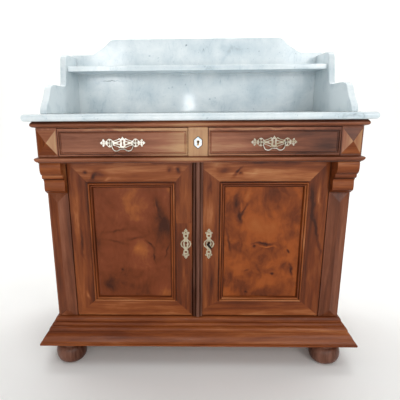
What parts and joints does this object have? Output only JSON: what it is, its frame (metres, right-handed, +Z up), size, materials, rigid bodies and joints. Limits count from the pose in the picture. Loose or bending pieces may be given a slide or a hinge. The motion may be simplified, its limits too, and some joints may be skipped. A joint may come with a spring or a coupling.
{
  "type": "washstand",
  "caption": "Walnut washstand with a marble top, stepped marble splash, shelf, frieze drawers and a two-door cupboard on a moulded plinth and bun feet.",
  "frame": {"origin": "on the floor, under the middle of the marble top", "axes": "+X to the right seen from the front, +Y to the back, +Z up; the doors and drawers face -Y"},
  "size_m": [1.052, 0.5, 1.098],
  "materials": {
    "marble": "polished",
    "walnut": "satin polish",
    "burl": "satin polish",
    "dark_walnut": "satin polish",
    "plain_wood": "bare",
    "nickel": "polished",
    "pale_brass": "satin",
    "brass": "satin",
    "iron": "blackened",
    "pearl": "polished"
  },
  "bodies": {
    "case": {"marble_top": "marble", "splash_back": "marble", "splash_wing_left": "marble", "splash_wing_right": "marble", "splash_shelf": "marble", "side_left": "walnut", "side_right": "walnut", "back_panel": "plain_wood", "bottom_board": "walnut", "dust_board": "walnut", "top_frame": "walnut", "cupboard_shelf": "plain_wood", "cornice": "walnut", "waist_moulding": "walnut", "plinth_frame": "walnut", "foot_front_left": "dark_walnut", "foot_front_right": "dark_walnut", "foot_back_left": "dark_walnut", "foot_back_right": "dark_walnut", "corner_block_left": "walnut", "corner_block_right": "walnut", "centre_stile": "walnut", "pilaster_left": "walnut", "pilaster_right": "walnut", "corbel_left": "walnut", "corbel_right": "walnut", "key_plate_centre": "pearl", "drawer_lock_case": "iron"},
    "drawer_left": {"drawer_front_left": "walnut", "drawer_side_left_left": "plain_wood", "drawer_side_right_left": "plain_wood", "drawer_back_left": "plain_wood", "drawer_bottom_left": "plain_wood", "pull_plate_left": "nickel"},
    "drawer_right": {"drawer_front_right": "walnut", "drawer_side_left_right": "plain_wood", "drawer_side_right_right": "plain_wood", "drawer_back_right": "plain_wood", "drawer_bottom_right": "plain_wood", "pull_plate_right": "nickel"},
    "pull_left": {"bail_left": "nickel"},
    "pull_right": {"bail_right": "nickel"},
    "drawer_latch": {"drawer_lock_latch": "iron"},
    "door_left": {"door_frame_left": "walnut", "door_panel_left": "burl", "door_moulding_left": "walnut", "escutcheon_left": "pale_brass", "hinge_top_left": "brass", "hinge_bottom_left": "brass"},
    "door_right": {"door_frame_right": "walnut", "door_panel_right": "burl", "door_moulding_right": "walnut", "escutcheon_right": "pale_brass", "hinge_top_right": "brass", "hinge_bottom_right": "brass", "strike_strip": "dark_walnut", "door_lock_case": "iron"},
    "key": {"door_key": "iron"},
    "lock_bolt": {"door_lock_bolt": "iron"},
    "edge_bolt": {"door_edge_bolt": "iron"}
  },
  "joints": [
    {"name": "drawer_left_slide", "type": "slide", "parent": "case", "child": "drawer_left", "axis": [0, -1, 0], "range_m": [0, 0.32]},
    {"name": "drawer_right_slide", "type": "slide", "parent": "case", "child": "drawer_right", "axis": [0, -1, 0], "range_m": [0, 0.32]},
    {"name": "bail_left_swing", "type": "hinge", "parent": "drawer_left", "child": "pull_left", "pos_m": [-0.21925, -0.2281, 0.7475], "axis": [-1, 0, 0], "range_deg": [0, 150]},
    {"name": "bail_right_swing", "type": "hinge", "parent": "drawer_right", "child": "pull_right", "pos_m": [0.21925, -0.2281, 0.7475], "axis": [-1, 0, 0], "range_deg": [0, 150]},
    {"name": "drawer_latch_turn", "type": "hinge", "parent": "case", "child": "drawer_latch", "pos_m": [0, -0.195, 0.7475], "axis": [0, 1, 0], "range_deg": [0, 90]},
    {"name": "door_left_swing", "type": "hinge", "parent": "case", "child": "door_left", "pos_m": [-0.3985, -0.167, 0.427], "axis": [0, 0, -1], "range_deg": [0, 90]},
    {"name": "door_right_swing", "type": "hinge", "parent": "case", "child": "door_right", "pos_m": [0.3985, -0.167, 0.427], "axis": [0, 0, 1], "range_deg": [0, 90]},
    {"name": "key_turn", "type": "hinge", "parent": "door_right", "child": "key", "pos_m": [0.037, -0.18, 0.421], "axis": [0, 1, 0], "range_deg": [0, 180]},
    {"name": "door_lock_throw", "type": "slide", "parent": "door_right", "child": "lock_bolt", "axis": [-1, 0, 0], "range_m": [0, 0.008]},
    {"name": "edge_bolt_slide", "type": "slide", "parent": "door_left", "child": "edge_bolt", "axis": [0, 0, 1], "range_m": [0, 0.012]}
  ],
  "couplings": [
    {"joint": "key_turn", "follows": "door_lock_throw", "rad_per_m": 392.6}
  ]
}
